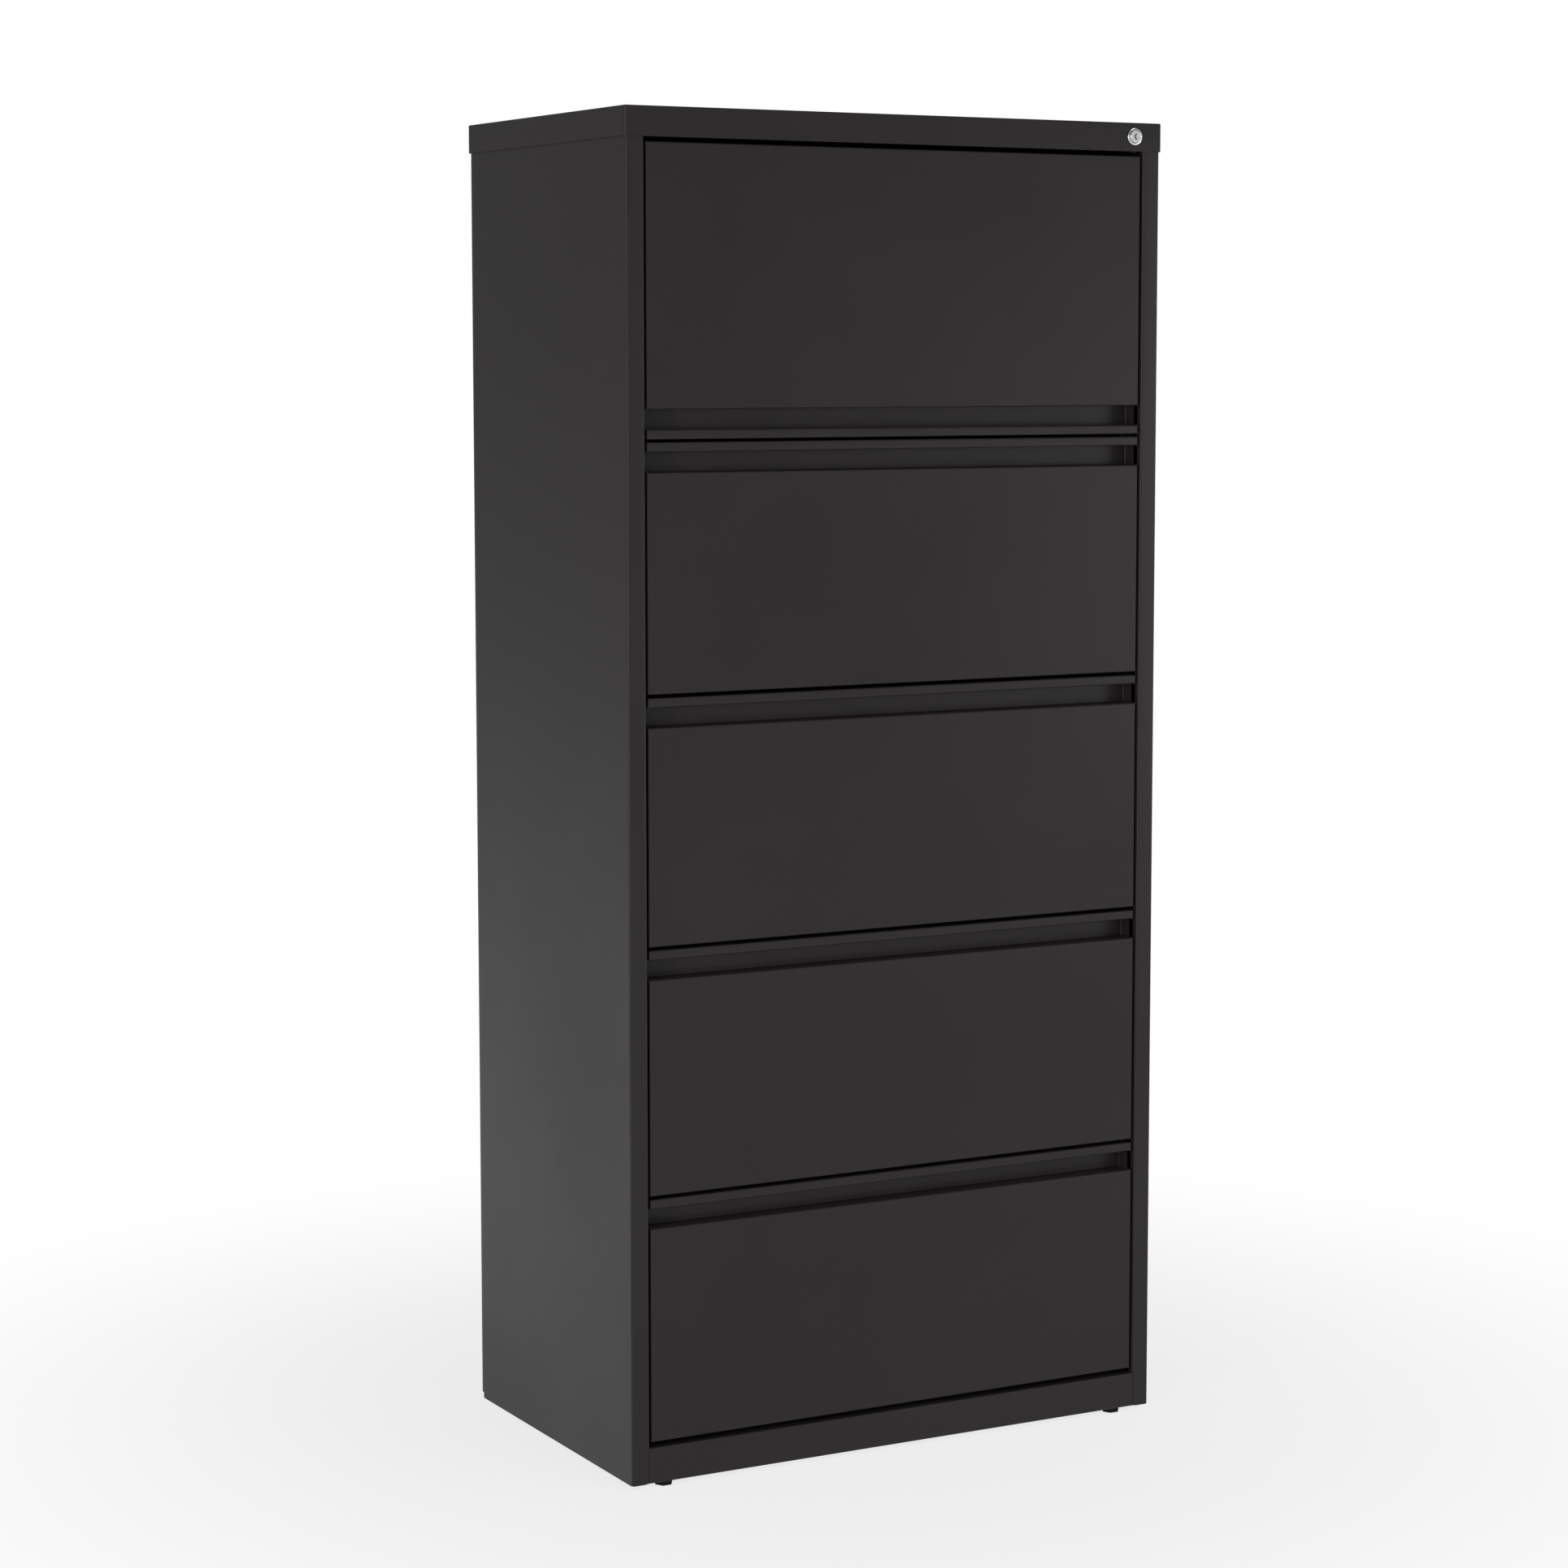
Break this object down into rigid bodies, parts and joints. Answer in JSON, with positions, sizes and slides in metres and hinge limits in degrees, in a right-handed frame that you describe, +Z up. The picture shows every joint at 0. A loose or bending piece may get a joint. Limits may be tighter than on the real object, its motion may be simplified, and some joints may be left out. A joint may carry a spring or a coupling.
{
  "type": "lateral filing cabinet",
  "caption": "Tall lateral filing cabinet of black painted sheet steel: stacked roll-out drawers with full-width pulls under a flip-up door with a roll-out shelf, with a cap lock and feet.",
  "frame": {"origin": "on the floor, under the middle of the cabinet's outer box", "axes": "+Z up, -Y out of the front towards the user, +X to the right as the user faces the front"},
  "size_m": [0.762, 0.4614, 1.6805],
  "materials": {
    "black_paint": "satin powder coat",
    "zinc_steel": "zinc plated",
    "chrome": "satin chrome",
    "black_plastic": "moulded, matte",
    "raw_steel": "bare bar, dull"
  },
  "bodies": {
    "cabinet": {"top_cap": "black_paint", "back_panel": "black_paint", "base_front_rail": "black_paint", "bottom_pan": "black_paint", "base_counterweight": "raw_steel", "left_side_panel": "black_paint", "right_side_panel": "black_paint", "front_left_upright": "black_paint", "front_right_upright": "black_paint", "rear_left_upright": "black_paint", "rear_right_upright": "black_paint", "door_track_left": "zinc_steel", "door_track_right": "zinc_steel", "lock_housing": "chrome", "drawer_1_slide_outer_left": "zinc_steel", "drawer_1_slide_outer_right": "zinc_steel", "drawer_2_slide_outer_left": "zinc_steel", "drawer_2_slide_outer_right": "zinc_steel", "drawer_3_slide_outer_left": "zinc_steel", "drawer_3_slide_outer_right": "zinc_steel", "drawer_4_slide_outer_left": "zinc_steel", "drawer_4_slide_outer_right": "zinc_steel", "shelf_slide_outer_left": "zinc_steel", "shelf_slide_outer_right": "zinc_steel"},
    "drawer_1": {"drawer_1_front": "black_paint", "drawer_1_body": "black_paint", "drawer_1_file_bar": "zinc_steel"},
    "drawer_1_mid": {"drawer_1_slide_mid_left": "zinc_steel", "drawer_1_slide_mid_right": "zinc_steel"},
    "drawer_2": {"drawer_2_front": "black_paint", "drawer_2_body": "black_paint", "drawer_2_file_bar": "zinc_steel"},
    "drawer_2_mid": {"drawer_2_slide_mid_left": "zinc_steel", "drawer_2_slide_mid_right": "zinc_steel"},
    "drawer_3": {"drawer_3_front": "black_paint", "drawer_3_body": "black_paint", "drawer_3_file_bar": "zinc_steel"},
    "drawer_3_mid": {"drawer_3_slide_mid_left": "zinc_steel", "drawer_3_slide_mid_right": "zinc_steel"},
    "drawer_4": {"drawer_4_front": "black_paint", "drawer_4_body": "black_paint", "drawer_4_file_bar": "zinc_steel"},
    "drawer_4_mid": {"drawer_4_slide_mid_left": "zinc_steel", "drawer_4_slide_mid_right": "zinc_steel"},
    "shelf": {"roll_out_shelf": "black_paint"},
    "shelf_mid": {"shelf_slide_mid_left": "zinc_steel", "shelf_slide_mid_right": "zinc_steel"},
    "door_carriage": {"door_carriage_left": "black_plastic", "door_carriage_right": "black_plastic", "door_cross_bar": "zinc_steel"},
    "door": {"flip_door": "black_paint", "flip_door_liner": "black_paint"},
    "lock_plug": {"lock_plug": "chrome", "lock_cam": "zinc_steel"},
    "lock_bar": {"lock_bar": "zinc_steel"},
    "front_left_foot": {"front_left_foot": "black_plastic"},
    "front_right_foot": {"front_right_foot": "black_plastic"},
    "rear_left_foot": {"rear_left_foot": "black_plastic"},
    "rear_right_foot": {"rear_right_foot": "black_plastic"}
  },
  "joints": [
    {"name": "drawer_1_slide", "type": "slide", "parent": "cabinet", "child": "drawer_1", "axis": [0, -1, 0], "range_m": [0, 0.4]},
    {"name": "drawer_1_mid_slide", "type": "slide", "parent": "cabinet", "child": "drawer_1_mid", "axis": [0, -1, 0], "range_m": [0, 0.2]},
    {"name": "drawer_2_slide", "type": "slide", "parent": "cabinet", "child": "drawer_2", "axis": [0, -1, 0], "range_m": [0, 0.4]},
    {"name": "drawer_2_mid_slide", "type": "slide", "parent": "cabinet", "child": "drawer_2_mid", "axis": [0, -1, 0], "range_m": [0, 0.2]},
    {"name": "drawer_3_slide", "type": "slide", "parent": "cabinet", "child": "drawer_3", "axis": [0, -1, 0], "range_m": [0, 0.4]},
    {"name": "drawer_3_mid_slide", "type": "slide", "parent": "cabinet", "child": "drawer_3_mid", "axis": [0, -1, 0], "range_m": [0, 0.2]},
    {"name": "drawer_4_slide", "type": "slide", "parent": "cabinet", "child": "drawer_4", "axis": [0, -1, 0], "range_m": [0, 0.4]},
    {"name": "drawer_4_mid_slide", "type": "slide", "parent": "cabinet", "child": "drawer_4_mid", "axis": [0, -1, 0], "range_m": [0, 0.2]},
    {"name": "door_carriage_slide", "type": "slide", "parent": "cabinet", "child": "door_carriage", "axis": [0, 1, 0], "range_m": [0, 0.276]},
    {"name": "door_hinge", "type": "hinge", "parent": "door_carriage", "child": "door", "pos_m": [0, -0.21325, 1.629], "axis": [-1, 0, 0], "range_deg": [0, 90]},
    {"name": "shelf_slide", "type": "slide", "parent": "cabinet", "child": "shelf", "axis": [0, -1, 0], "range_m": [0, 0.323]},
    {"name": "shelf_mid_slide", "type": "slide", "parent": "cabinet", "child": "shelf_mid", "axis": [0, -1, 0], "range_m": [0, 0.162]},
    {"name": "lock_turn", "type": "hinge", "parent": "cabinet", "child": "lock_plug", "pos_m": [0.34, -0.21, 1.663], "axis": [0, 1, 0], "range_deg": [0, 90]},
    {"name": "lock_bar_slide", "type": "slide", "parent": "cabinet", "child": "lock_bar", "axis": [0, 0, -1], "range_m": [0, 0.0127]},
    {"name": "front_left_foot_level", "type": "slide", "parent": "cabinet", "child": "front_left_foot", "axis": [0, 0, -1], "range_m": [0, 0.012]},
    {"name": "front_right_foot_level", "type": "slide", "parent": "cabinet", "child": "front_right_foot", "axis": [0, 0, -1], "range_m": [0, 0.012]},
    {"name": "rear_left_foot_level", "type": "slide", "parent": "cabinet", "child": "rear_left_foot", "axis": [0, 0, -1], "range_m": [0, 0.012]},
    {"name": "rear_right_foot_level", "type": "slide", "parent": "cabinet", "child": "rear_right_foot", "axis": [0, 0, -1], "range_m": [0, 0.012]}
  ],
  "couplings": [
    {"joint": "drawer_1_mid_slide", "follows": "drawer_1_slide", "ratio": 0.5},
    {"joint": "drawer_2_mid_slide", "follows": "drawer_2_slide", "ratio": 0.5},
    {"joint": "drawer_3_mid_slide", "follows": "drawer_3_slide", "ratio": 0.5},
    {"joint": "drawer_4_mid_slide", "follows": "drawer_4_slide", "ratio": 0.5},
    {"joint": "door_carriage_slide", "follows": "door_hinge", "m_per_rad": 0.175},
    {"joint": "shelf_slide", "follows": "door_hinge", "m_per_rad": 0.205},
    {"joint": "shelf_mid_slide", "follows": "door_hinge", "m_per_rad": 0.1025},
    {"joint": "lock_turn", "follows": "lock_bar_slide", "rad_per_m": 123.41}
  ]
}
